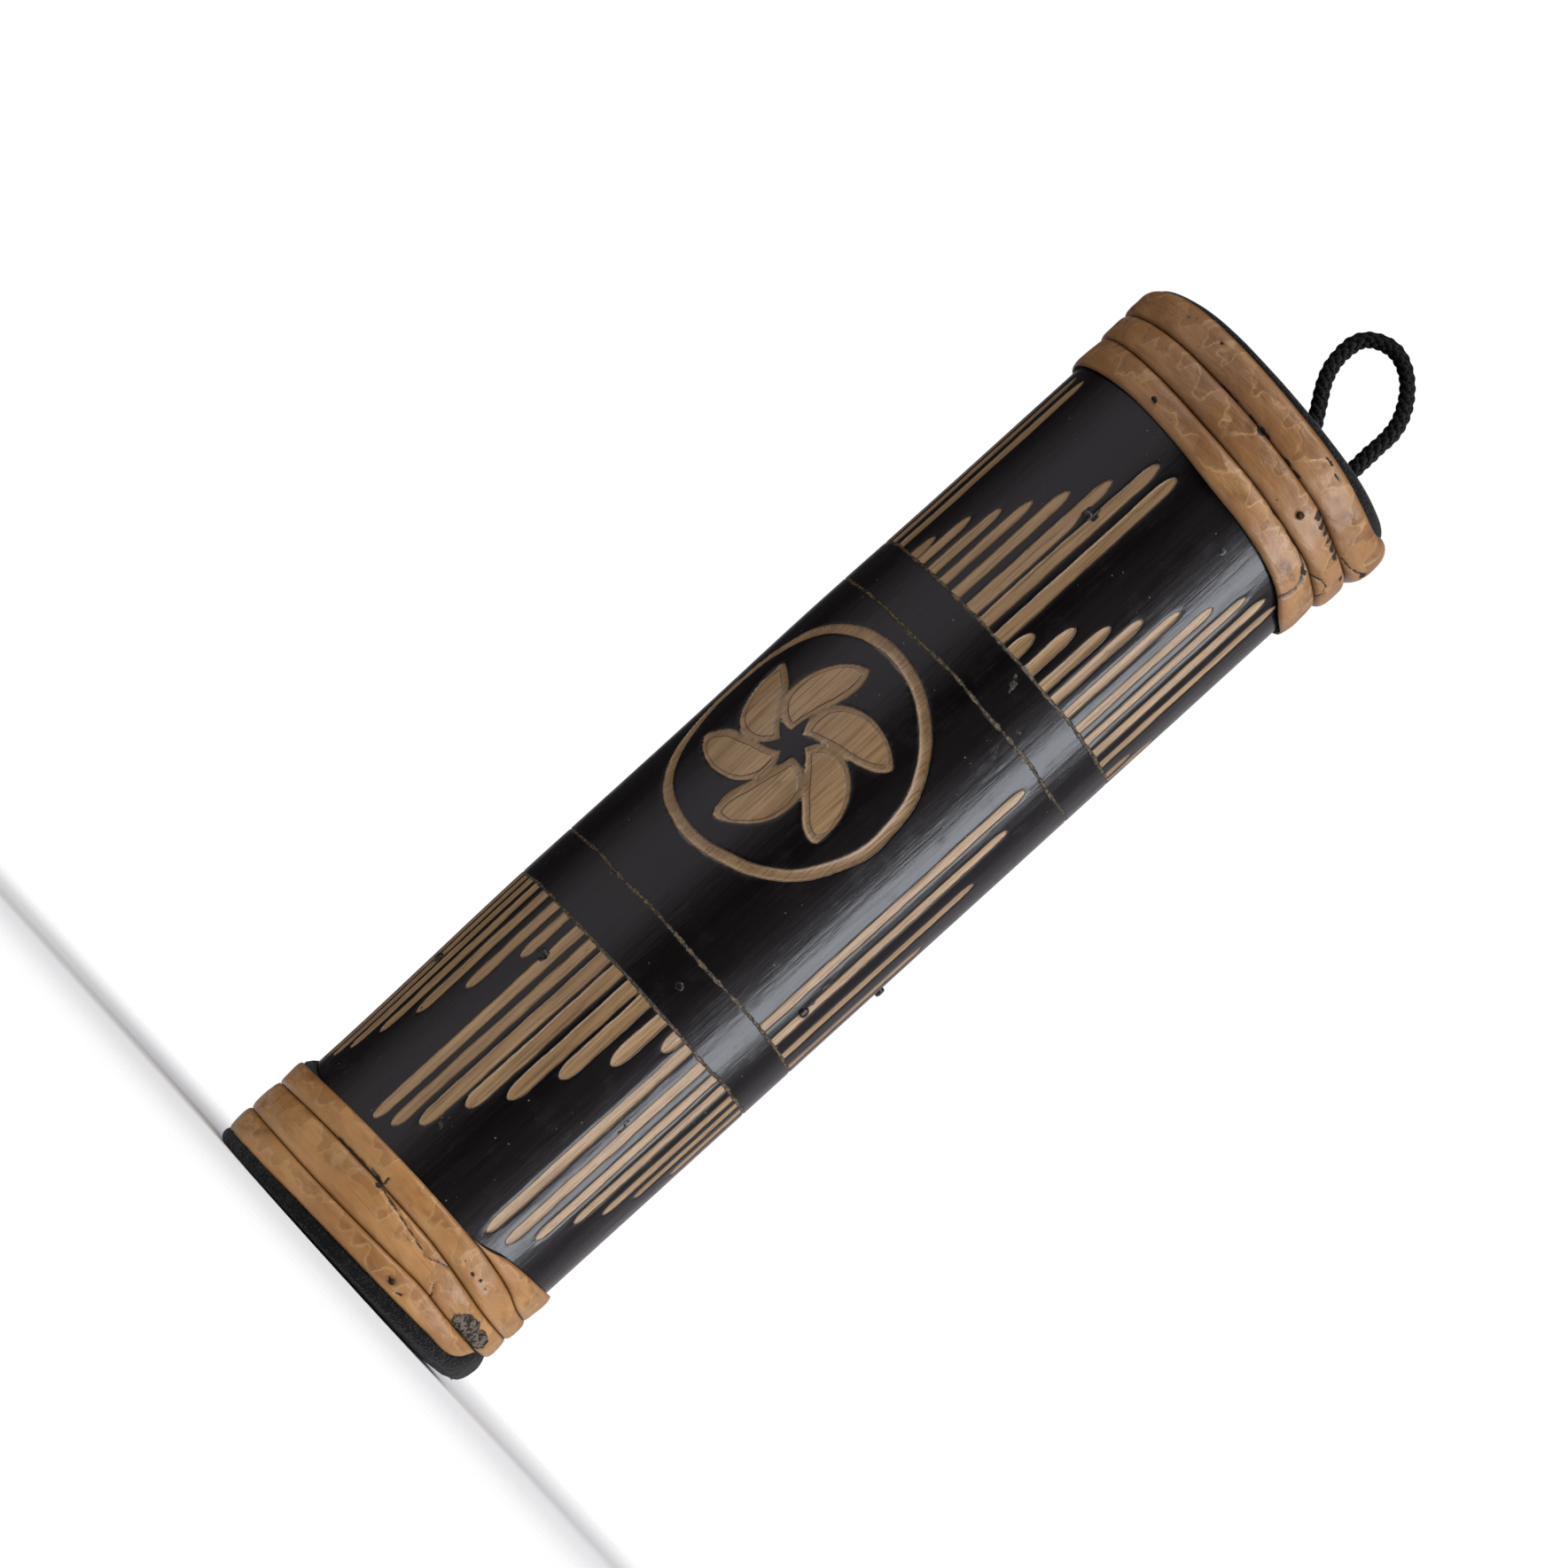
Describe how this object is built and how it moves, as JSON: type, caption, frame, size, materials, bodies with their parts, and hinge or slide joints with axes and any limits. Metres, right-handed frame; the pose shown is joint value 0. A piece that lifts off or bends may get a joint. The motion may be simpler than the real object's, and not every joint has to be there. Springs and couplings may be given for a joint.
{
  "type": "rain shaker",
  "caption": "Small carved and lacquered bamboo rain shaker with inner baffle pins, loose seeds, rattan-hooped cloth ends and a braided hanging loop.",
  "frame": {"origin": "centre of the flat cloth base on which the tube stands", "axes": "+Z along the tube towards the hanging loop; -Y is the front, where the round carved medallion is; +X to the right of someone looking at the front"},
  "size_m": [0.0552, 0.0552, 0.2204],
  "materials": {
    "lacquered_bamboo": "black gloss lacquer over bamboo, carved through to the pale wood",
    "rattan": "split rattan, waxed, mottled golden brown",
    "black_cloth": "fine black knitted cloth",
    "black_cord": "round braided black cord",
    "disc_wood": "unfinished softwood",
    "pin_bamboo": "split bamboo sliver, black lacquer on the outer end",
    "seed": "hard dry seed with a satin skin",
    "brad_steel": "dark tarnished steel"
  },
  "bodies": {
    "tube": {"bamboo_tube": "lacquered_bamboo", "baffle_pin_01": "pin_bamboo", "baffle_pin_02": "pin_bamboo", "baffle_pin_03": "pin_bamboo", "baffle_pin_04": "pin_bamboo", "baffle_pin_05": "pin_bamboo", "baffle_pin_06": "pin_bamboo", "baffle_pin_07": "pin_bamboo", "baffle_pin_08": "pin_bamboo", "baffle_pin_09": "pin_bamboo", "baffle_pin_10": "pin_bamboo", "baffle_pin_11": "pin_bamboo", "baffle_pin_12": "pin_bamboo", "baffle_pin_13": "pin_bamboo", "baffle_pin_14": "pin_bamboo", "bottom_disc": "disc_wood", "top_disc": "disc_wood", "bottom_cover": "black_cloth", "top_cover": "black_cloth", "base_hoop_low": "rattan", "base_hoop_middle": "rattan", "base_hoop_high": "rattan", "crown_hoop_low": "rattan", "crown_hoop_middle": "rattan", "crown_hoop_high": "rattan", "crown_brad_right": "brad_steel", "crown_brad_left": "brad_steel", "base_brad": "brad_steel", "cord_loop": "black_cord", "loop_knot_left": "black_cord", "loop_knot_right": "black_cord"},
    "seeds_1": {"seeds_1": "seed"},
    "seeds_2": {"seeds_2": "seed"},
    "seeds_3": {"seeds_3": "seed"},
    "seeds_4": {"seeds_4": "seed"},
    "seeds_5": {"seeds_5": "seed"},
    "seeds_6": {"seeds_6": "seed"},
    "seeds_7": {"seeds_7": "seed"},
    "seeds_8": {"seeds_8": "seed"},
    "seeds_9": {"seeds_9": "seed"}
  },
  "joints": [
    {"name": "seeds_1_fall", "type": "slide", "parent": "tube", "child": "seeds_1", "axis": [0, 0, 1], "range_m": [0, 0.1756]},
    {"name": "seeds_2_fall", "type": "slide", "parent": "tube", "child": "seeds_2", "axis": [0, 0, 1], "range_m": [0, 0.1756]},
    {"name": "seeds_3_fall", "type": "slide", "parent": "tube", "child": "seeds_3", "axis": [0, 0, 1], "range_m": [0, 0.1756]},
    {"name": "seeds_4_fall", "type": "slide", "parent": "tube", "child": "seeds_4", "axis": [0, 0, 1], "range_m": [0, 0.1756]},
    {"name": "seeds_5_fall", "type": "slide", "parent": "tube", "child": "seeds_5", "axis": [0, 0, 1], "range_m": [0, 0.1756]},
    {"name": "seeds_6_fall", "type": "slide", "parent": "tube", "child": "seeds_6", "axis": [0, 0, 1], "range_m": [0, 0.1713]},
    {"name": "seeds_7_fall", "type": "slide", "parent": "tube", "child": "seeds_7", "axis": [0, 0, 1], "range_m": [0, 0.1713]},
    {"name": "seeds_8_fall", "type": "slide", "parent": "tube", "child": "seeds_8", "axis": [0, 0, 1], "range_m": [0, 0.1756]},
    {"name": "seeds_9_fall", "type": "slide", "parent": "tube", "child": "seeds_9", "axis": [0, 0, 1], "range_m": [0, 0.1756]}
  ]
}
